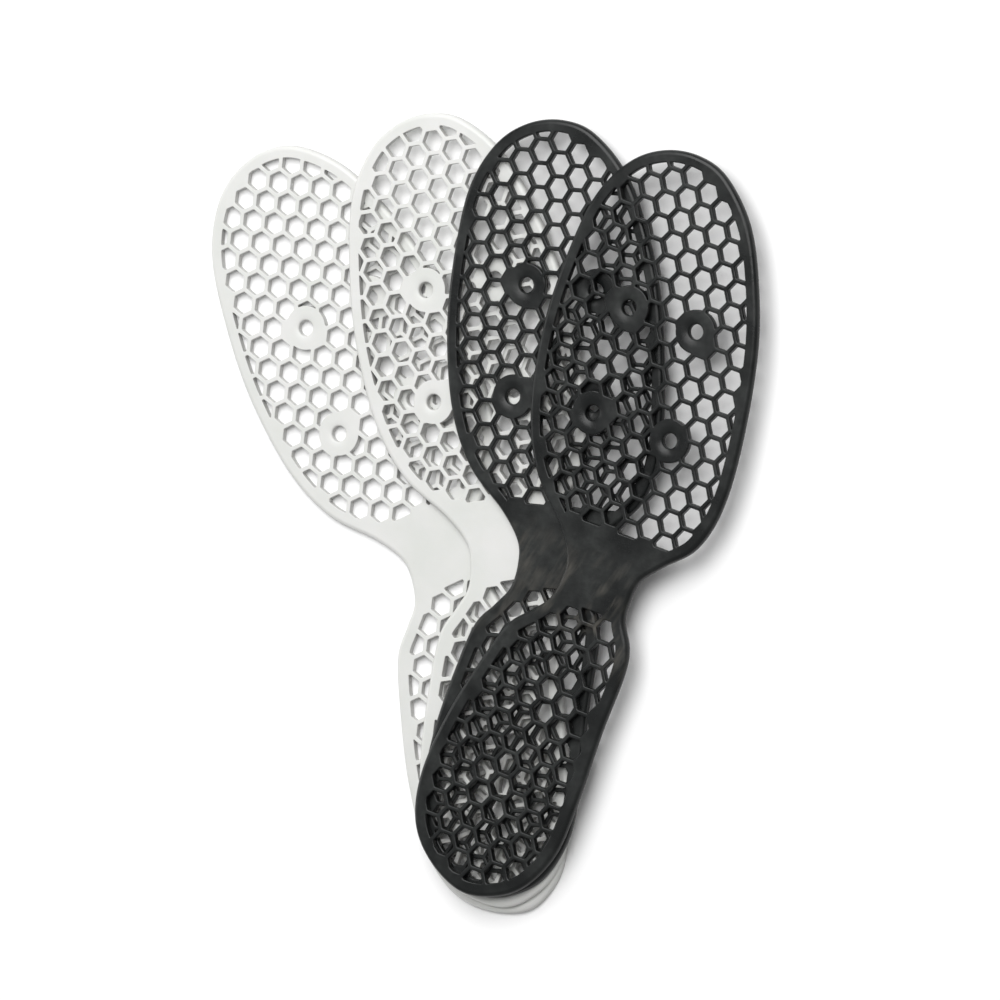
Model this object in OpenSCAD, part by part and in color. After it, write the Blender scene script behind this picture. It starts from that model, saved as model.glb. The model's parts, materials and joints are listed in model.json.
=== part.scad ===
// A set of four honeycomb sole trays, loosely stacked on their heels and fanned out.
// They are one design, and the lower two are graded longer. Units are millimetres, +Z up. The
// trays lie flat on one another, and the origin is under the middle of the fan's bounding box,
// on the surface.

/* [Tray outline] */
// Length of the heel lobe, from its tip to the waist
heel_l = 92; // [78:1:110]
// Greatest width of the heel lobe
heel_w = 57; // [48:1:68]
// Length of the waist between the two lobes
waist_l = 28; // [24:1:34]
// Narrowest width of the waist
waist_w = 25.6; // [21:0.2:31]
// Length of the forefoot lobe, from the waist to its tip
fore_l = 133; // [112:1:160]
// Greatest width of the forefoot lobe
fore_w = 80; // [67:1:96]
// How far the waist's middle lies to the side of the heel's
waist_shift = 13.2; // [10:0.2:16]
// How far the forefoot's middle lies to the side of the heel's
fore_shift = 8.5; // [6:0.5:12]
// How much longer the toe gets with each step up in size
toe_step = 2.5; // [0:0.1:3.5]
// How much longer the heel gets with each step up in size
heel_step = 3.2; // [0:0.1:4]
// How far the heel's right side moves in with each step up in size
heel_slim = 1.7; // [0:0.1:2.5]
// Thickness of a tray
tray_t = 2.5; // [2:0.1:3.2]

/* [Honeycomb] */
// Distance between the middles of neighbouring cells in the forefoot
fore_pitch = 7.8; // [6.5:0.1:9.4]
// Distance between the middles of neighbouring cells in the heel
heel_pitch = 8; // [6.6:0.1:9.6]
// Width of the wall between two cells
cell_wall = 1.4; // [1:0.1:1.8]
// Width of the plain rim round the forefoot
fore_rim = 4; // [3.2:0.2:5]
// Width of the plain rim round the heel
heel_rim = 4.4; // [3.6:0.2:5.4]
// Length of the plain web that crosses the waist
web_l = 27; // [22:0.5:32]

/* [Bosses] */
// Diameter of a plain round boss
boss_d = 14.4; // [12:0.2:17]
// Diameter of the screw hole in a boss
hole_d = 5; // [4:0.1:6]
// Diameter of the shallow dish round the hole
dish_d = 9; // [7.4:0.2:10.8]
// Depth of the dish
dish_depth = 0.4; // [0.3:0.05:0.6]
// Distance between the two bosses nearer the toe
toe_boss_gap = 25.4; // [21:0.2:30]
// Distance between the two bosses nearer the heel
heel_boss_gap = 29.4; // [25:0.2:35]
// Distance along the tray between the two rows of bosses
boss_row_gap = 36.4; // [30:0.2:44]

/* [Fan] */
// Turn of the lowest tray, anticlockwise from straight ahead
fan_start = 22.6; // [10:0.2:30]
// Turn from the first tray to the second
fan_step_2 = 14.9; // [10:0.1:18]
// Turn from the second tray to the third
fan_step_3 = 12.3; // [9:0.1:16]
// Turn from the third tray to the fourth
fan_step_4 = 13.6; // [10:0.1:18]
// How far the lowest tray has slipped to the left of the stack
slip_1 = 2.5; // [0:0.1:5]
// How far the third tray has slipped to the right of the stack
slip_3 = 1.2; // [0:0.1:4]

/* [Hidden] */

$fn = 48;
white_resin = [0.93, 0.93, 0.91];
black_resin = [0.16, 0.17, 0.17];

// A tray's own frame: the heel's middle is the origin, and +Y points to the toe.
heel_tip_y = -28;
heel_middle_x = 1;
waist_y = heel_tip_y + heel_l;
fore_y = waist_y + waist_l;
waist_x = heel_middle_x + waist_shift;
fore_x = heel_middle_x + fore_shift;

// Shape of each lobe's edge, as shares of its width and of its length from its heel end
heel_right = [[-0.05, 0], [0.18, 0.03], [0.346, 0.109], [0.462, 0.25], [0.5, 0.45],
              [0.52, 0.7], [0.553, 0.92], [0.535, 1.02]];
waist_right = [[0.516, 0.34], [0.5, 0.57], [0.56, 0.84]];
fore_right = [[0.319, 0.02], [0.44, 0.09], [0.5, 0.2], [0.503, 0.36], [0.461, 0.57],
              [0.39, 0.722], [0.27, 0.875], [0.106, 0.972], [-0.044, 1]];
fore_left = [[-0.2, 0.985], [-0.335, 0.93], [-0.44, 0.823], [-0.487, 0.67], [-0.5, 0.48],
             [-0.452, 0.28], [-0.35, 0.141], [-0.19, 0.04]];
waist_left = [[-0.53, 0.86], [-0.5, 0.6], [-0.578, 0.32]];
heel_left = [[-0.119, 1.033], [-0.24, 0.955], [-0.345, 0.79], [-0.45, 0.57], [-0.5, 0.35],
             [-0.45, 0.18], [-0.29, 0.065]];

function placed(shares, x, y, w, l) = [for (s = shares) [x + s[0] * w, y + s[1] * l]];
function tip_y(step) = heel_tip_y - step * heel_step;
function knots(step) = let (hl = heel_l + step * heel_step, fl = fore_l + step * toe_step)
    concat(placed(heel_right, heel_middle_x, tip_y(step), heel_w - 2 * step * heel_slim, hl),
           placed(waist_right, waist_x, waist_y, waist_w, waist_l),
           placed(fore_right, fore_x, fore_y, fore_w, fl),
           placed(fore_left, fore_x, fore_y, fore_w, fl),
           placed(waist_left, waist_x, waist_y, waist_w, waist_l),
           placed(heel_left, heel_middle_x, tip_y(step), heel_w, hl));

// A smooth closed curve through the knots, with this many steps from knot to knot
curve_steps = 7;
function along(a, b, c, d, t) = 0.5 * (2 * b + (c - a) * t + (2 * a - 5 * b + 4 * c - d) * t * t
                                       + (3 * b - a - 3 * c + d) * t * t * t);
function closed_curve(k) = let (n = len(k))
    [for (i = [0 : n - 1]) for (s = [0 : curve_steps - 1])
        along(k[(i + n - 1) % n], k[i], k[(i + 1) % n], k[(i + 2) % n], s / curve_steps)];
function edge(step) = closed_curve(knots(step));

// A closed curve moved inwards, for the inner side of the rim
function inward(p, q) = let (d = q - p) [-d[1], d[0]] / norm(d);
function moved_in(c, w) = let (n = len(c))
    [for (i = [0 : n - 1]) c[i] + w * inward(c[(i + n - 1) % n], c[(i + 1) % n])];

// The plain web across the waist parts the two honeycombs. It lies towards the forefoot.
web_place = 0.82; // share of the waist's length from its heel end to the web's middle
web_middle_y = waist_y + web_place * waist_l;
heel_cells_end = web_middle_y - web_l / 2;
fore_cells_start = web_middle_y + web_l / 2;

// Bosses stand in two rows, in pairs either side of a line that is close to the forefoot's middle.
boss_side = 0.7;
heel_row_share = 0.319; // of the forefoot's length, from the waist to the row nearer the heel
boss_x = fore_x + boss_side;
heel_row_y = fore_y + heel_row_share * fore_l;
toe_row_y = heel_row_y + boss_row_gap;
bosses = [[boss_x - toe_boss_gap / 2, toe_row_y], [boss_x + toe_boss_gap / 2, toe_row_y],
          [boss_x - heel_boss_gap / 2, heel_row_y], [boss_x + heel_boss_gap / 2, heel_row_y]];

// Distance from a point to a closed curve, negative outside it. A crossing counts the pieces of
// the curve that a line from the point towards -X or +X goes through, and it is odd inside.
function to_segment(p, a, b) = let (d = b - a, t = ((p - a) * d) / (d * d))
    norm(p - a - max(0, min(1, t)) * d);
function crossings(p, c) = let (n = len(c))
    len([for (i = [0 : n - 1]) let (a = c[i], b = c[(i + 1) % n])
        if ((a[1] > p[1]) != (b[1] > p[1])
            && p[0] < a[0] + (p[1] - a[1]) * (b[0] - a[0]) / (b[1] - a[1])) 1]);
function depth_in(p, c) = let (n = len(c))
    (crossings(p, c) % 2 == 1 ? 1 : -1)
        * min([for (i = [0 : n - 1]) to_segment(p, c[i], c[(i + 1) % n])]);

// Middles of the cells of one honeycomb. Rows of cells run along +Y.
// Each entry is [x, y, depth inside the honeycomb's border].
least_depth = -0.27; // pitches; a cell whose middle lies farther outside the border is left out
whole_depth = 0.6;   // pitches; a cell whose middle lies deeper than this needs no trimming
function cells(pitch, start, low, high, inner) =
    let (col = pitch * sqrt(3) / 2, reach = ceil(fore_w / col), rows = ceil(far / pitch))
    [for (i = [-reach : reach]) for (j = [-rows : rows])
        let (p = [start[0] + i * col, start[1] + (j + (i % 2 == 0 ? 0 : 0.5)) * pitch],
             band = min(p[1] - low, high - p[1]))
        if (band > least_depth * pitch)
            let (d = min(depth_in(p, inner), band))
            if (d > least_depth * pitch) [p[0], p[1], d]];
// A cell's middle from which each honeycomb is laid out
fore_start = [boss_x - 3.7, 0];
heel_start = [heel_middle_x + 7.6, 4.9];
far = 2 * fore_l; // beyond the toe of the longest tray

function boss_gap(p) = min([for (b = bosses) norm([p[0], p[1]] - b) - boss_d / 2]);
function is_whole(c, pitch) = min(c[2], boss_gap(c)) > whole_depth * pitch;

// Turn, slip and size step of each tray, and the place of the heels in the fan's own frame
fan_turns = [fan_start, fan_start - fan_step_2, fan_start - fan_step_2 - fan_step_3,
             fan_start - fan_step_2 - fan_step_3 - fan_step_4];
function turned(p, a) = [p[0] * cos(a) - p[1] * sin(a), p[0] * sin(a) + p[1] * cos(a)];
fan_slips = [[-slip_1, 0], [0, 0], [slip_3, 0], [0, 0]];
size_steps = [2, 1, 0, 0];
fan_edge = [for (k = [0 : 3]) for (p = edge(size_steps[k])) turned(p, fan_turns[k]) + fan_slips[k]];
fan_x = [for (p = fan_edge) p[0]];
fan_y = [for (p = fan_edge) p[1]];
heels_at = [-(min(fan_x) + max(fan_x)) / 2, -(min(fan_y) + max(fan_y)) / 2];
cut = 0.5; // overshoot of a cutting tool

module cell(c, pitch) {
    translate([c[0], c[1]]) circle(r = (pitch - cell_wall) / sqrt(3), $fn = 6);
}

// Cells that lie clear of every border are cut whole, and the others are trimmed.
module whole_cells(list, pitch) {
    for (c = list)
        if (is_whole(c, pitch))
            cell(c, pitch);
}

module trimmed_cells(list, pitch, inner, low, high) {
    difference() {
        intersection() {
            union()
                for (c = list)
                    if (!is_whole(c, pitch) && boss_gap(c) > least_depth * pitch)
                        cell(c, pitch);
            polygon(inner);
            translate([-fore_w, low]) square([3 * fore_w, high - low]);
        }
        for (b = bosses)
            translate(b) circle(d = boss_d);
    }
}

module openings(outline, rim, pitch, start, low, high) {
    inner = moved_in(outline, rim);
    list = cells(pitch, start, low, high, inner);
    whole_cells(list, pitch);
    trimmed_cells(list, pitch, inner, low, high);
}

module tray_plan(step) {
    outline = edge(step);
    difference() {
        polygon(outline);
        openings(outline, fore_rim, fore_pitch, fore_start, fore_cells_start, far);
        openings(outline, heel_rim, heel_pitch, heel_start, -far, heel_cells_end);
        for (b = bosses)
            translate(b) circle(d = hole_d);
    }
}

module dish() {
    translate([0, 0, tray_t - dish_depth])
        cylinder(h = dish_depth + cut, d1 = hole_d,
                 d2 = hole_d + (dish_d - hole_d) * (dish_depth + cut) / dish_depth);
}

// One moulded tray, lying flat with its underside on z = 0
module tray(step) {
    difference() {
        linear_extrude(height = tray_t) tray_plan(step);
        for (b = bosses)
            translate(b) dish();
    }
}

module stacked(number) {
    translate(concat(heels_at + fan_slips[number - 1], (number - 1) * tray_t))
        rotate([0, 0, fan_turns[number - 1]]) tray(size_steps[number - 1]);
}

module tray_1() { color(white_resin) stacked(1); }
module tray_2() { color(white_resin) stacked(2); }
module tray_3() { color(black_resin) stacked(3); }
module tray_4() { color(black_resin) stacked(4); }

tray_1();
tray_2();
tray_3();
tray_4();
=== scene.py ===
# %% [markdown]
# # Four honeycomb sole trays in a fan
# The object is a set of four flat plastic trays, each shaped like the sole of a foot. They are
# stacked on their heels and fanned out, two white ones below two black ones. This lesson takes the
# exact trays of the CAD frame, finds the outlines of their openings, and makes each tray again as a
# moulding, with rounded cell edges, a domed rim and four dished screw bosses.

# %% Load the frame
import json
import math

import bmesh
import bpy
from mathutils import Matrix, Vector


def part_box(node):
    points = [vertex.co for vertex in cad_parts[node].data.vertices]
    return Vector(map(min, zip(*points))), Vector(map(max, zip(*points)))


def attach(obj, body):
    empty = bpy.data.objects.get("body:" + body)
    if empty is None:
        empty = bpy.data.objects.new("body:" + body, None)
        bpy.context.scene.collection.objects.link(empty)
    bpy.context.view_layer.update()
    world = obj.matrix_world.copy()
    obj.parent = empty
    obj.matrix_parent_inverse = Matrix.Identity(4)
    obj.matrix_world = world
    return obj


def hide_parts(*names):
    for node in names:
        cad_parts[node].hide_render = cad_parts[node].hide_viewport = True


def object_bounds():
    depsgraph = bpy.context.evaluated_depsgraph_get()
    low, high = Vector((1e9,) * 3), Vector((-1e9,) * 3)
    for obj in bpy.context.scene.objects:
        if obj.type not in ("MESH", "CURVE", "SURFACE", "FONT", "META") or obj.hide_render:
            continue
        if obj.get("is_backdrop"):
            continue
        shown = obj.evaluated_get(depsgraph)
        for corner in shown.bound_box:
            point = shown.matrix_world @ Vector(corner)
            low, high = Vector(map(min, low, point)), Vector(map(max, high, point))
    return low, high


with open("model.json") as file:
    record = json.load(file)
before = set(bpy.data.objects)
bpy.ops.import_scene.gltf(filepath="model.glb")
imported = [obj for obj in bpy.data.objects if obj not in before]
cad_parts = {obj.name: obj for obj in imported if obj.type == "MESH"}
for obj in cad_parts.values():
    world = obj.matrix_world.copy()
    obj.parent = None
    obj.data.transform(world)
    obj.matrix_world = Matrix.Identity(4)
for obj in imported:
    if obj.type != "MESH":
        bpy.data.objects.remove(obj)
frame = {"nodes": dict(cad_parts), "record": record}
CAD_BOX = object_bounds()
MM = 0.001
BODY_OF = {node: body for body, nodes in frame["record"]["behaviour"]["bodies"].items()
           for node in nodes}
SLOT_OF = {part["node"]: part["material_slot"] for part in frame["record"]["subparts"]}
TRAYS = sorted(frame["nodes"])


def box_in_mm():
    return [[round(c / MM, 2) for c in corner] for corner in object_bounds()]


print("trays:", TRAYS, "box in mm:", box_in_mm())

# %% [markdown]
# ## Camera
# The trays are seen from above, with the camera leaning over to the right of the fan, so the left
# inner wall of every cell shows. A very long lens keeps the honeycomb nearly parallel: with a short
# one the cells near the camera would look larger than those on the far side.

# %% Camera
SLANT = math.radians(27.1)    # how far the camera leans from straight above, towards +X
LENS = 1200.0                 # focal length in mm
VIEW_WIDTH = 324 * MM         # width of the picture at the object
AIM = Vector((3.2, 4.2, 0.0)) * MM
NEAR, FAR = 0.1, 3            # what the camera sees, as shares of its distance

camera_data = bpy.data.cameras.new("camera")
camera_data.lens = LENS
distance = VIEW_WIDTH * LENS / camera_data.sensor_width
camera_data.clip_start = distance * NEAR
camera_data.clip_end = distance * FAR
camera = bpy.data.objects.new("camera", camera_data)
camera.location = AIM + Vector((math.sin(SLANT), 0, math.cos(SLANT))) * distance
camera.rotation_euler = (0, SLANT, 0)
bpy.context.scene.collection.objects.link(camera)
bpy.context.scene.camera = camera
print("camera is", round(distance, 2), "m away")

# %% [markdown]
# ## Outlines from the frame
# Every edge between a tray's underside and one of its upright walls belongs to a closed loop. The
# longest loop is the tray's outer edge, the round ones are screw holes, and all the others are
# cells. The outlines could be drawn again, but taken from the frame they can't drift away from it.
# A loop keeps the direction in which its wall faces, so the plastic is always on its left. The CAD
# mesh is loose triangles, so a copy of it is merged first.

# %% Loops round a tray's underside
WELD = 0.002 * MM
DOWNWARDS = -0.9              # a face whose normal has a lower Z is part of the underside


def length_of(loop):
    return sum((b - a).length for a, b in zip(loop, loop[1:] + loop[:1]))


def underside_loops(node):
    """Closed loops of (x, y) points round the underside, with the plastic on the left."""
    plate = bmesh.new()
    plate.from_mesh(frame["nodes"][node].data)
    bmesh.ops.remove_doubles(plate, verts=plate.verts, dist=WELD)
    follows = {}
    for face in plate.faces:
        if face.normal.z > DOWNWARDS:
            continue
        for loop in face.loops:
            wall = loop.link_loop_radial_next.face
            if wall.normal.z > DOWNWARDS:
                follows[loop.link_loop_next.vert.index] = loop.vert.index
    points = {v.index: v.co.to_2d() for v in plate.verts}
    plate.free()
    loops = []
    while follows:
        start, after = follows.popitem()
        loop = [start]
        while after != start:
            loop.append(after)
            after = follows.pop(after)
        loops.append([points[i] for i in loop])
    return sorted(loops, key=length_of, reverse=True)


plans = {node: underside_loops(node) for node in TRAYS}
print("the top tray's outer edge is", round(length_of(plans[TRAYS[-1]][0]) / MM), "mm round")

# %% Tell the screw holes from the cells
FEWEST_ROUND_POINTS = 10
ROUNDNESS = 0.1               # how much a screw hole's points may differ in reach, as a share


def middle_of(loop):
    return sum(loop, Vector((0, 0))) / len(loop)


def is_round(loop):
    """True for a screw hole: many points, all at one distance from the middle."""
    middle = middle_of(loop)
    reach = [(p - middle).length for p in loop]
    return len(loop) > FEWEST_ROUND_POINTS and max(reach) - min(reach) < ROUNDNESS * max(reach)


for node, loops in plans.items():
    holes = sum(is_round(loop) for loop in loops)
    print(node, "has", len(loops) - 1 - holes, "cells and", holes, "screw holes")

# %% [markdown]
# ## Rounding the cells
# A mould has no sharp inner corners, so each corner of a cell becomes a small arc. A bevel on the
# finished tray could do this too, but the short edges, where the rim or a boss cuts through a cell,
# would hold back its width. In the flat plan each corner can take what its own two sides allow.

# %% Rounded corners
CORNER_RADIUS = 0.55 * MM
CORNER_STEPS = 3
SHARP_TURN = math.radians(24)    # a gentler turn than this is left as it is
SIDE_SHARE = 0.45                # a corner takes no more than this share of a side
SHORTEST = 0.08 * MM


def without_short_edges(loop):
    """The loop without points that lie closer than SHORTEST to the one before."""
    kept = []
    for p in loop:
        if not kept or (p - kept[-1]).length > SHORTEST:
            kept.append(p)
    if (kept[0] - kept[-1]).length < SHORTEST:
        kept.pop()
    return kept


def rounded(loop):
    """Turns each sharp corner of the loop into a short curve."""
    loop = without_short_edges(loop)
    result = []
    for i, corner in enumerate(loop):
        before, after = loop[i - 1] - corner, loop[(i + 1) % len(loop)] - corner
        turn = math.pi - before.angle(after)
        if turn < SHARP_TURN:
            result.append(corner)
            continue
        cut = min(CORNER_RADIUS * math.tan(turn / 2), before.length * SIDE_SHARE,
                  after.length * SIDE_SHARE)
        start, end = corner + before.normalized() * cut, corner + after.normalized() * cut
        for step in range(CORNER_STEPS + 1):
            t = step / CORNER_STEPS
            result.append(start * (1 - t) ** 2 + corner * (2 * t * (1 - t)) + end * t ** 2)
    return result


cell = plans[TRAYS[-1]][1]
print("the longest cell has", len(cell), "points, and", len(rounded(cell)), "when rounded")

# %% [markdown]
# ## Smoothing the outer edge
# The outer edge has no corners at all. It is a curve that the frame holds as short straight pieces,
# and a spline through its points makes it smooth again, so the domed rim shines without facets.

# %% A smooth outer edge
SPLINE_STEPS = 3


def smoothed(loop):
    """A closed spline through the loop's points."""
    result = []
    for i in range(len(loop)):
        a, b, c, d = (loop[(i + k) % len(loop)] for k in (-1, 0, 1, 2))
        for step in range(SPLINE_STEPS):
            t = step / SPLINE_STEPS
            result.append(0.5 * (2 * b + (c - a) * t + (2 * a - 5 * b + 4 * c - d) * t * t
                                 + (3 * b - a - 3 * c + d) * t ** 3))
    return result


def plan_mesh(node):
    """A mesh of the outer edge and every cell as closed wires, and a loose point per screw hole."""
    outer, *others = plans[node]
    wires = [smoothed(without_short_edges(outer))]
    wires += [rounded(loop) for loop in others if not is_round(loop)]
    points, edges = [], []
    for wire in wires:
        first, count = len(points), len(wire)
        points += wire
        edges += [(first + i, first + (i + 1) % count) for i in range(count)]
    points += [middle_of(loop) for loop in others if is_round(loop)]
    mesh = bpy.data.meshes.new(node + "_plan")
    mesh.from_pydata([(p.x, p.y, 0) for p in points], edges, [])
    rim = mesh.attributes.new("rim", "BOOLEAN", "POINT")
    rim.data.foreach_set("value", [i < len(wires[0]) for i in range(len(points))])
    return mesh


plan_meshes = {node: plan_mesh(node) for node in TRAYS}
print("points in each plan:", [len(mesh.vertices) for mesh in plan_meshes.values()])

# %% [markdown]
# ## The moulding as a node tree
# The rule of this shape is simple: one small profile runs round every loop, and two flat caps close
# the gaps between the loops. Geometry Nodes suit such a rule, because the sizes stay inputs that
# can be changed later. The tree starts with nothing but those inputs.

# %% An empty tree and its inputs
def add(tree, kind, inputs=None, **settings):
    """A new node, with its settings, and its inputs by name or number set or linked."""
    made = tree.nodes.new(kind)
    for name, value in settings.items():
        setattr(made, name, value)
    for key, value in (inputs or {}).items():
        if isinstance(value, bpy.types.NodeSocket):
            tree.links.new(value, made.inputs[key])
        else:
            made.inputs[key].default_value = value
    return made


MOULDING = bpy.data.node_groups.new("moulded_tray", "GeometryNodeTree")
LENGTHS = ("Underside height", "Thickness", "Edge radius", "Rim radius", "Lip", "Screw hole",
           "Hole edge radius", "Dish", "Dish depth", "Dish edge radius", "Dish lip")
INPUTS = {"Geometry": "Geometry", **dict.fromkeys(LENGTHS, "Float"), "Edge steps": "Int",
          "Material": "Material"}
for name, kind in INPUTS.items():
    MOULDING.interface.new_socket(name, in_out="INPUT", socket_type="NodeSocket" + kind)
MOULDING.interface.new_socket("Geometry", in_out="OUTPUT", socket_type="NodeSocketGeometry")
given = MOULDING.nodes.new("NodeGroupInput").outputs
print("the tree's inputs:", list(INPUTS))

# %% [markdown]
# ## Profiles
# A profile is a C with rounded corners. It could be typed in point by point, but a short line whose
# corners are filleted follows the inputs. It begins and ends in a narrow flat lip, so that the
# caps are shaded flat right up to the rounding. Along a curve, a profile's X points to the right
# and its Y points down.

# %% A short line with rounded corners
def maths(tree, operation, a, b=0.0):
    return add(tree, "ShaderNodeMath", {0: a, 1: b}, operation=operation).outputs[0]


def vector(tree, **parts):
    return add(tree, "ShaderNodeCombineXYZ", parts).outputs[0]


def by_index(tree, kind, values):
    """Gives each point of a short line its own value."""
    pick = add(tree, "GeometryNodeIndexSwitch", data_type=kind)
    while len(pick.index_switch_items) < len(values):
        pick.index_switch_items.new()
    tree.links.new(add(tree, "GeometryNodeInputIndex").outputs[0], pick.inputs[0])
    for number, value in enumerate(values):
        tree.links.new(value, pick.inputs[1 + number])
    return pick.outputs[0]


def filleted(tree, corners, steps):
    """An open curve through (x, y, radius) corners, each inner one rounded to its radius."""
    places = [vector(tree, X=x, Y=y) for x, y, _ in corners]
    line = add(tree, "GeometryNodeMeshLine", {"Count": len(corners)})
    bent = add(tree, "GeometryNodeSetPosition",
               {"Geometry": line.outputs[0], "Position": by_index(tree, "VECTOR", places)})
    curve = add(tree, "GeometryNodeMeshToCurve", {"Mesh": bent.outputs[0]})
    radii = by_index(tree, "FLOAT", [radius for _, _, radius in corners])
    return add(tree, "GeometryNodeFilletCurve",
               {"Curve": curve.outputs[0], "Radius": radii, "Count": steps,
                "Limit Radius": True}, mode="POLY").outputs[0]


edge_radius = given["Edge radius"]
top = maths(MOULDING, "MULTIPLY", given["Thickness"], -1.0)
lip = maths(MOULDING, "ADD", edge_radius, given["Lip"])
print("the tree has", len(MOULDING.nodes), "nodes before the walls")

# %% [markdown]
# ## Walls of the cells and of the rim
# The same profile runs round the cells and round the outer edge. Only the radius at the top
# differs: small in a cell, large at the rim, which is domed on the real tray. Here a swept profile
# comes out facing into the plastic, so its faces are flipped.

# %% Walls
def wall(tree, chosen, top_radius):
    """The profile, swept along the chosen wires of the plan."""
    wires = add(tree, "GeometryNodeMeshToCurve",
                {"Mesh": given["Geometry"], "Selection": chosen}).outputs[0]
    wires = add(tree, "GeometryNodeSetCurveNormal", {"Curve": wires}, mode="Z_UP").outputs[0]
    low_end = maths(tree, "MULTIPLY", lip, -1.0)
    top_end = maths(tree, "MULTIPLY", maths(tree, "ADD", top_radius, given["Lip"]), -1.0)
    profile = filleted(tree, [(low_end, 0.0, edge_radius), (0.0, 0.0, edge_radius),
                              (0.0, top, top_radius), (top_end, top, top_radius)],
                       given["Edge steps"])
    swept = add(tree, "GeometryNodeCurveToMesh", {"Curve": wires, "Profile Curve": profile})
    return add(tree, "GeometryNodeFlipFaces", {"Mesh": swept.outputs[0]}).outputs[0]


is_rim = add(MOULDING, "GeometryNodeInputNamedAttribute", {"Name": "rim"},
             data_type="BOOLEAN").outputs[0]
is_cell = add(MOULDING, "FunctionNodeBooleanMath", {0: is_rim}, operation="NOT").outputs[0]
walls = [wall(MOULDING, is_rim, given["Rim radius"]), wall(MOULDING, is_cell, edge_radius)]
print("the tree has", len(MOULDING.nodes), "nodes after the walls")

# %% [markdown]
# ## Screw bosses
# The honeycomb closes to a solid disc round each of the four screw holes, and the disc is dished
# towards the hole. Such a round shape is turned: its profile goes once round a small circle, and a
# copy of it is put on each loose point of the plan. The dish has a wide soft edge, as if the sink
# of a screw head had been blended into the plate.

# %% Screw bosses
RING_POINTS = 48

bore = maths(MOULDING, "MULTIPLY", given["Screw hole"], 0.5)
ring = add(MOULDING, "GeometryNodeCurvePrimitiveCircle",
           {"Resolution": RING_POINTS, "Radius": bore})
ring = add(MOULDING, "GeometryNodeSetCurveNormal", {"Curve": ring.outputs[0]}, mode="Z_UP")
dish_reach = maths(MOULDING, "SUBTRACT", maths(MOULDING, "MULTIPLY", given["Dish"], 0.5), bore)
dish_end = maths(MOULDING, "ADD", dish_reach, given["Dish lip"])
dish_floor = maths(MOULDING, "ADD", top, given["Dish depth"])
boss_profile = filleted(MOULDING, [(lip, 0.0, edge_radius), (0.0, 0.0, edge_radius),
                                   (0.0, dish_floor, given["Hole edge radius"]),
                                   (dish_reach, top, given["Dish edge radius"]),
                                   (dish_end, top, edge_radius)], given["Edge steps"])
bored = add(MOULDING, "GeometryNodeCurveToMesh",
            {"Curve": ring.outputs[0], "Profile Curve": boss_profile}).outputs[0]
neighbours = add(MOULDING, "GeometryNodeInputMeshVertexNeighbors").outputs["Vertex Count"]
is_loose = add(MOULDING, "FunctionNodeCompare", {2: neighbours, 3: 0}, data_type="INT",
               operation="EQUAL").outputs[0]
centres = add(MOULDING, "GeometryNodeMeshToPoints",
              {"Mesh": given["Geometry"], "Selection": is_loose}).outputs[0]
bosses = add(MOULDING, "GeometryNodeInstanceOnPoints", {"Points": centres, "Instance": bored})
bosses = add(MOULDING, "GeometryNodeRealizeInstances", {0: bosses.outputs[0]}).outputs[0]
print("the tree has", len(MOULDING.nodes), "nodes after the bosses")

# %% [markdown]
# ## Caps
# Walls and bosses still have open edges above and below. The flat plastic between them is one sheet
# with many holes, and Fill Curve makes just that from the open edges. The same is done above and
# below, and the lower sheet is turned over to face downwards.

# %% Caps
def join(tree, *parts):
    made = add(tree, "GeometryNodeJoinGeometry")
    for part in reversed(parts):
        tree.links.new(part, made.inputs[0])
    return made.outputs[0]


def sheet(tree, edges_of, chosen):
    """A flat sheet, at height 0, between the chosen edges."""
    outlines = add(tree, "GeometryNodeMeshToCurve", {"Mesh": edges_of, "Selection": chosen})
    return add(tree, "GeometryNodeFillCurve", {"Curve": outlines.outputs[0]}).outputs[0]


skin = join(MOULDING, *walls, bosses)
faces_beside = add(MOULDING, "GeometryNodeInputMeshEdgeNeighbors").outputs[0]
is_open = add(MOULDING, "FunctionNodeCompare", {2: faces_beside, 3: 1}, data_type="INT",
              operation="EQUAL").outputs[0]
place = add(MOULDING, "GeometryNodeInputPosition").outputs[0]
height = add(MOULDING, "ShaderNodeSeparateXYZ", {0: place}).outputs["Z"]
is_above = maths(MOULDING, "GREATER_THAN", height,
                 maths(MOULDING, "MULTIPLY", given["Thickness"], 0.5))
is_below = maths(MOULDING, "SUBTRACT", 1.0, is_above)
upper = sheet(MOULDING, skin, maths(MOULDING, "MULTIPLY", is_open, is_above))
upper = add(MOULDING, "GeometryNodeTransform",
            {"Geometry": upper,
             "Translation": vector(MOULDING, Z=given["Thickness"])}).outputs[0]
lower = sheet(MOULDING, skin, maths(MOULDING, "MULTIPLY", is_open, is_below))
lower = add(MOULDING, "GeometryNodeFlipFaces", {"Mesh": lower}).outputs[0]
print("the tree has", len(MOULDING.nodes), "nodes after the caps")

# %% [markdown]
# ## One closed tray
# Merging the points where walls and caps meet closes the tray. Then it is lifted to its place in
# the stack, shaded smooth and given its plastic. Smooth shading often needs custom normals beside
# large flats, but here the lips keep the flats flat.

# %% Join, place and finish the tray
SEAM = 0.001 * MM

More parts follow.
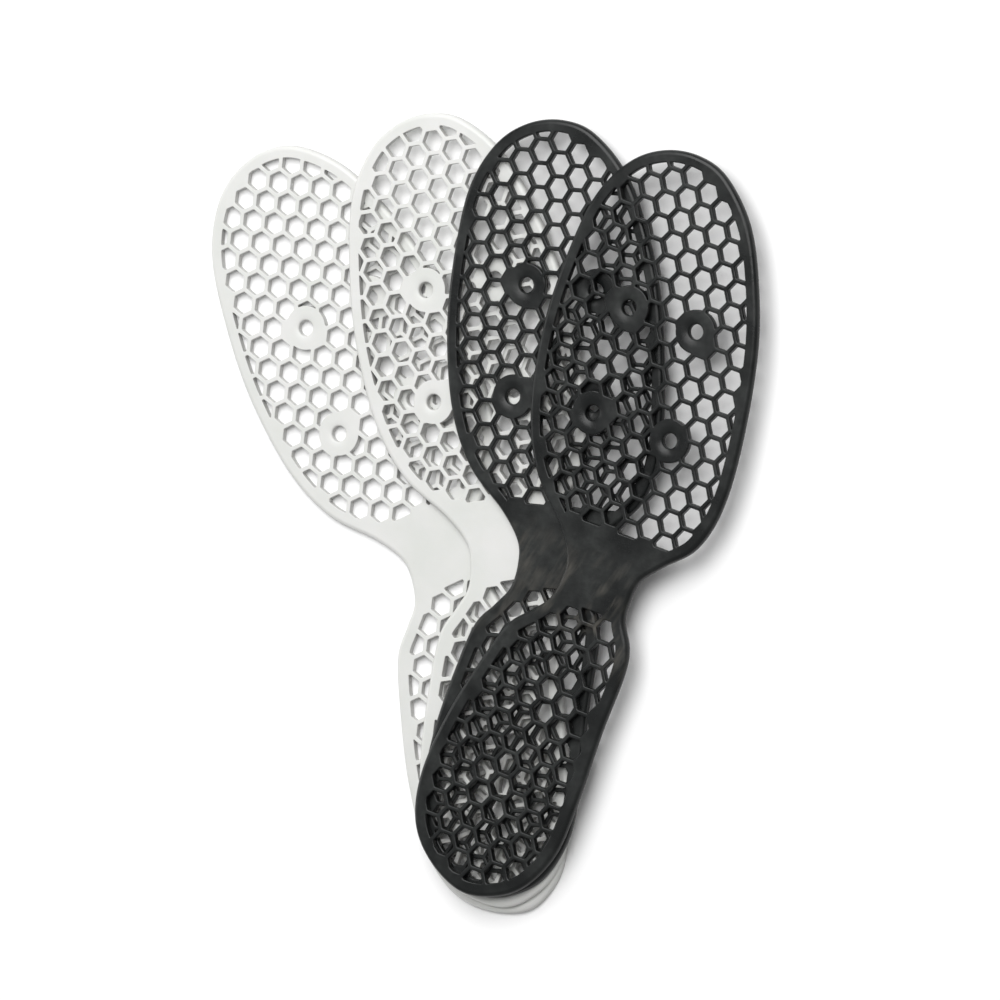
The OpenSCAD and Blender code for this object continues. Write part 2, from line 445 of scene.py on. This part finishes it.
parts = join(MOULDING, skin, upper, lower)
whole = add(MOULDING, "GeometryNodeMergeByDistance", {"Geometry": parts, "Distance": SEAM})
whole = add(MOULDING, "GeometryNodeTransform",
            {"Geometry": whole.outputs[0],
             "Translation": vector(MOULDING, Z=given["Underside height"])})
whole = add(MOULDING, "GeometryNodeSetShadeSmooth", {"Geometry": whole.outputs[0]})
whole = add(MOULDING, "GeometryNodeRealizeInstances", {0: whole.outputs[0]})
whole = add(MOULDING, "GeometryNodeSetMaterial",
            {"Geometry": whole.outputs[0], "Material": given["Material"]})
MOULDING.links.new(whole.outputs[0], MOULDING.nodes.new("NodeGroupOutput").inputs[0])
print("the whole tree has", len(MOULDING.nodes), "nodes")

# %% [markdown]
# ## Plastics
# Both plastics are smooth injection mouldings. An image could carry their small marks, but noise
# needs no unwrapping and stays sharp at any distance. The noise reads Object coordinates, which are
# metres here, so one grain or streak keeps its size on every tray.

# %% A material, grains and blends
def surface(name, colour, roughness):
    """A new material with its tree, its main shader and its Object coordinates."""
    made = bpy.data.materials.new(name)
    made.use_nodes = True
    tree = made.node_tree
    shader = tree.nodes["Principled BSDF"]
    shader.inputs["Base Color"].default_value = (*colour, 1)
    shader.inputs["Roughness"].default_value = roughness
    made.diffuse_color = (*colour, 1)
    return made, tree, shader, add(tree, "ShaderNodeTexCoord").outputs["Object"]


def ranged(tree, value, low, high, new_low, new_high):
    return add(tree, "ShaderNodeMapRange", {0: value, 1: low, 2: high, 3: new_low,
                                            4: new_high}).outputs[0]


def grain(tree, where, size, long=1.0, turn=0.0, detail=3.0):
    """Noise whose grains are about the given size in mm, and so many times as long as wide."""
    turned = add(tree, "ShaderNodeVectorRotate", {"Vector": where, "Angle": turn},
                 rotation_type="Z_AXIS").outputs[0]
    mapped = add(tree, "ShaderNodeMapping", {"Vector": turned, "Scale": (1, 1 / long, 1)})
    return add(tree, "ShaderNodeTexNoise", {"Vector": mapped.outputs[0], "Detail": detail,
                                            "Scale": 1 / (size * MM)}).outputs[0]


def mixed(tree, share, a, b):
    made = add(tree, "ShaderNodeMix", {0: share}, data_type="RGBA")
    for socket, value in ((made.inputs[6], a), (made.inputs[7], b)):
        if isinstance(value, bpy.types.NodeSocket):
            tree.links.new(value, socket)
        else:
            socket.default_value = (*value, 1)
    return made.outputs[2]


black, tree, shader, where = surface("black_moulded_plastic", (0.014, 0.0155, 0.015), 0.36)
print("made", black.name)

# %% [markdown]
# ## Painted shade on the walls, and the mould's grain
# The upright walls of the real trays look a little darker than the flats, mostly because they lie
# in shade, so the slope of the surface picks a darker colour there: this is painted shade. A second
# material on the wall faces could do it, but would end in a hard line on the rounded edges. A very
# low relief of two grains, one fine and one coarse, breaks the reflections as the skin of a
# moulding does.

# %% Painted shade on upright walls, and relief
UPRIGHT, FLAT = 0.15, 0.75    # how far a surface looks up or down to count as either
FINE, COARSE = 0.35, 2.4      # sizes of the two grains in mm
FINE_SHARE = 0.35             # height of the fine grain beside the coarse one
BLACK_RELIEF = 0.05           # mm


def upright(tree):
    """1 on upright walls, and 0 on flats."""
    facing = add(tree, "ShaderNodeTexCoord").outputs["Normal"]
    slope = add(tree, "ShaderNodeSeparateXYZ", {0: facing}).outputs["Z"]
    return ranged(tree, maths(tree, "ABSOLUTE", slope), UPRIGHT, FLAT, 1, 0)


def relief(tree, shader, fine, coarse, depth):
    """Bumps of the two grains, of the given depth in mm."""
    height = maths(tree, "ADD", maths(tree, "MULTIPLY", fine, FINE_SHARE), coarse)
    bumps = add(tree, "ShaderNodeBump", {"Height": height, "Strength": 1.0,
                                         "Distance": depth * MM})
    tree.links.new(bumps.outputs[0], shader.inputs["Normal"])


mottle = grain(tree, where, COARSE, detail=5.0)
relief(tree, shader, grain(tree, where, FINE, detail=2.0), mottle, BLACK_RELIEF)
print("relief of", black.name, "in mm:", BLACK_RELIEF)

# %% [markdown]
# ## Black plastic
# The black plastic is charcoal, with a cloudy sheen where the melt flowed and a little dust on it.
# On the solid waist between the two honeycombs it is scuffed, in soft slanting streaks. The waist
# is found by its distance from the middle of the heels, about which the fan turns, so it is nearly
# the same on every tray. Painting the scuffs would tie them to one tray and one turn.

# %% Black plastic
HEELS_MIDDLE = Vector((3.9, -96.6, 0)) * MM
WAIST_BEGINS, WAIST_ENDS = (58 * MM, 72 * MM), (84 * MM, 98 * MM)    # each fades over a distance
CHARCOAL, DUSTY, SCUFFED = (0.006, 0.007, 0.007), (0.020, 0.0225, 0.0215), (0.060, 0.056, 0.048)
PAINTED_WALL_SHADE = (0.004, 0.0045, 0.0045)
CLOUD_SIZE, PATCH_SIZE, STREAK_WIDTH = 14, 11, 2.6    # mm
STREAK_LENGTH, STREAK_TURN = 5, 0.62                  # widths, and radians from the Y axis
GLOSSY, DULL, SCUFF_DULLS = 0.24, 0.42, 0.15

shader.inputs["Specular IOR Level"].default_value = 0.32
flow = grain(tree, where, CLOUD_SIZE, detail=4.0)
streaks = grain(tree, where, STREAK_WIDTH, long=STREAK_LENGTH, turn=STREAK_TURN, detail=3.0)
patch = grain(tree, where, PATCH_SIZE, detail=1.0)
reach = add(tree, "ShaderNodeVectorMath", {0: where, 1: HEELS_MIDDLE},
            operation="DISTANCE").outputs["Value"]
waist = maths(tree, "MULTIPLY", ranged(tree, reach, *WAIST_BEGINS, 0, 1),
              ranged(tree, reach, *WAIST_ENDS, 1, 0))
marks = maths(tree, "MULTIPLY", ranged(tree, streaks, 0.44, 0.70, 0, 1),
              ranged(tree, patch, 0.46, 0.62, 0, 1))
scuffs = maths(tree, "MULTIPLY", waist, marks)
dust = maths(tree, "MULTIPLY", ranged(tree, flow, 0.42, 0.68, 0, 1),
             ranged(tree, mottle, 0.35, 0.65, 0.3, 1))
colour = mixed(tree, scuffs, mixed(tree, dust, CHARCOAL, DUSTY), SCUFFED)
# Painted shade: the upright walls get a darker colour than the flats.
colour = mixed(tree, upright(tree), colour, PAINTED_WALL_SHADE)
tree.links.new(colour, shader.inputs["Base Color"])
rough = maths(tree, "ADD", ranged(tree, flow, 0.35, 0.65, GLOSSY, DULL),
              maths(tree, "MULTIPLY", scuffs, SCUFF_DULLS))
tree.links.new(rough, shader.inputs["Roughness"])
print(black.name, "has", len(tree.nodes), "nodes")

# %% [markdown]
# ## White plastic
# The white plastic is milky: light goes a little way in, so its thin walls glow. A small share of
# subsurface scattering gives that. A paler colour alone would look like paint. It has a faint cloud
# in its colour, and no scuffs, because they hardly show on white.

# %% White plastic
WHITE_COARSE, WHITE_RELIEF, WHITE_CLOUD_SIZE = 2.6, 0.03, 18    # mm
WHITE_GLOSSY, WHITE_DULL = 0.32, 0.44
LIGHT_ENTERS = 0.5 * MM
MILK, CREAM, SHADED_WALL = (0.615, 0.625, 0.60), (0.66, 0.66, 0.645), (0.47, 0.47, 0.455)

white, tree, shader, where = surface("white_moulded_plastic", (0.64, 0.645, 0.625), 0.38)
mottle = grain(tree, where, WHITE_COARSE, detail=4.0)
relief(tree, shader, grain(tree, where, FINE, detail=2.0), mottle, WHITE_RELIEF)
cloud = grain(tree, where, WHITE_CLOUD_SIZE, detail=3.0)
colour = mixed(tree, ranged(tree, cloud, 0.35, 0.65, 0, 1), MILK, CREAM)
# Painted shade: the upright walls get the darker shaded colour instead of the flats' colour.
tree.links.new(mixed(tree, upright(tree), colour, SHADED_WALL), shader.inputs["Base Color"])
rough = ranged(tree, mottle, 0.3, 0.7, WHITE_GLOSSY, WHITE_DULL)
tree.links.new(rough, shader.inputs["Roughness"])
shader.inputs["Subsurface Weight"].default_value = 0.12
shader.inputs["Subsurface Radius"].default_value = (1.0, 0.95, 0.8)
shader.inputs["Subsurface Scale"].default_value = LIGHT_ENTERS
PLASTIC = {"black_plastic": black, "white_plastic": white}
print("plastics:", sorted(PLASTIC))

# %% [markdown]
# ## The trays
# Each tray's plan goes through the tree, and what comes out is kept as a plain mesh. The tree's
# inputs are set by their identifiers before Blender works the modifier out for the first time. The
# edges of the white trays are crisper than those of the black ones, and their dish hardly shows, so
# each plastic has its own edge radius and dish depth.

# %% Mould the four trays
SIZES = {"Rim radius": 1.5, "Lip": 0.05, "Screw hole": 5.0, "Hole edge radius": 0.7,
         "Dish": 9.0, "Dish edge radius": 10.0, "Dish lip": 1.1}
SIZES_OF = {"black_plastic": {"Edge radius": 0.42, "Dish depth": 0.4},
            "white_plastic": {"Edge radius": 0.22, "Dish depth": 0.15}}
AIR = 0.005 * MM         # left free above and below a tray, so that no two faces coincide
EDGE_STEPS = 4
identifier = {item.name: item.identifier for item in MOULDING.interface.items_tree
              if item.in_out == "INPUT"}


def moulded(node):
    """The node's plan, gone through the tree and kept as a plain mesh."""
    low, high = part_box(node)
    draft = bpy.data.objects.new(node + "_draft", plan_meshes[node])
    bpy.context.scene.collection.objects.link(draft)
    mould = draft.modifiers.new("mould", "NODES")
    mould.node_group = MOULDING
    for name, size in (SIZES | SIZES_OF[SLOT_OF[node]]).items():
        mould[identifier[name]] = size * MM
    mould[identifier["Underside height"]] = low.z + AIR
    mould[identifier["Thickness"]] = high.z - low.z - 2 * AIR
    mould[identifier["Edge steps"]] = EDGE_STEPS
    mould[identifier["Material"]] = PLASTIC[SLOT_OF[node]]
    result = draft.evaluated_get(bpy.context.evaluated_depsgraph_get())
    mesh = bpy.data.meshes.new_from_object(result)
    draft.modifiers.clear()
    bpy.data.objects.remove(draft)
    return mesh


trays = {}
for node in TRAYS:
    trays[node] = bpy.data.objects.new("moulded_" + node, moulded(node))
    bpy.context.scene.collection.objects.link(trays[node])
print("moulded:", [tray.name for tray in trays.values()])

# %% [markdown]
# ## Are they closed?
# A tray that could be moulded is one closed skin that faces outwards. Then every edge has two
# faces, and the volume inside comes out above zero.

# %% Measure the trays
for node, tray in trays.items():
    check = bmesh.new()
    check.from_mesh(tray.data)
    open_edges = sum(not edge.is_manifold for edge in check.edges)
    print(node, "has", sum(len(f.verts) - 2 for f in check.faces), "triangles,", open_edges,
          "open edges and", round(check.calc_volume(signed=True) / MM ** 3), "cubic mm")
    check.free()

# %% [markdown]
# ## Trays on their bodies
# The real trays lie loosely and can be lifted off one by one. One mesh of the whole stack would
# look the same at rest, but it couldn't be taken apart. So each moulding takes the place of one
# CAD tray, and rides on that tray's body.

# %% Put each tray on its body
for node, tray in trays.items():
    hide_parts(node)
    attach(tray, BODY_OF[node])
print("trays ride on", sorted(set(BODY_OF.values())))

# %% [markdown]
# ## Floor
# The trays lie on plain white paper. A bent backdrop could hide the horizon too, but the trays are
# seen from above, so one large square just below the lowest tray does.

# %% Floor
FLOOR_HALF = 6.0
FLOOR_GAP = 0.05 * MM
CORNERS = ((-1, -1), (1, -1), (1, 1), (-1, 1))

floor_mesh = bpy.data.meshes.new("floor")
floor_mesh.from_pydata([(x * FLOOR_HALF, y * FLOOR_HALF, CAD_BOX[0].z - FLOOR_GAP)
                        for x, y in CORNERS], [], [(0, 1, 2, 3)])
paper = surface("white_paper", (0.95, 0.95, 0.95), 0.9)[0]
floor_mesh.materials.append(paper)
floor = bpy.data.objects.new("floor", floor_mesh)
bpy.context.scene.collection.objects.link(floor)
floor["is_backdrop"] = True
print("the floor is", 2 * FLOOR_HALF, "m wide")

# %% [markdown]
# ## Light
# One large soft light hangs nearly overhead, towards the toes. It lights the floor through the
# cells but only grazes their walls, so each cell gets a dark line along the walls that the camera
# sees. A weaker light stands low on the left and draws a soft line of sheen along the domed rims.
# Neither light stands where a flat tray would mirror it, and the bright room softens the shadows.

# %% Light
ROOM_LIGHT = 0.36


def soft_light(name, place, size, power):
    """A square light, aimed at the trays."""
    data = bpy.data.lights.new(name, "AREA")
    data.size = size
    data.energy = power
    lamp = bpy.data.objects.new(name, data)
    lamp.location = place
    lamp.rotation_mode = "QUATERNION"
    lamp.rotation_quaternion = (-Vector(place)).to_track_quat("-Z", "Y")
    bpy.context.scene.collection.objects.link(lamp)
    return lamp


world = bpy.data.worlds.new("bright_room")
world.use_nodes = True
room = world.node_tree.nodes["Background"]
room.inputs["Color"].default_value = (1, 1, 1, 1)
room.inputs["Strength"].default_value = ROOM_LIGHT
bpy.context.scene.world = world
bpy.context.scene.view_settings.view_transform = "Standard"
lamps = [soft_light("key_light", (0.1, 0.9, 1.45), 1.6, 37),
         soft_light("side_light", (-1.7, 0.25, 0.75), 0.8, 4.5)]
print("lights:", {lamp.name: lamp.data.energy for lamp in lamps})

# %% Finish
print("box in mm:", box_in_mm())
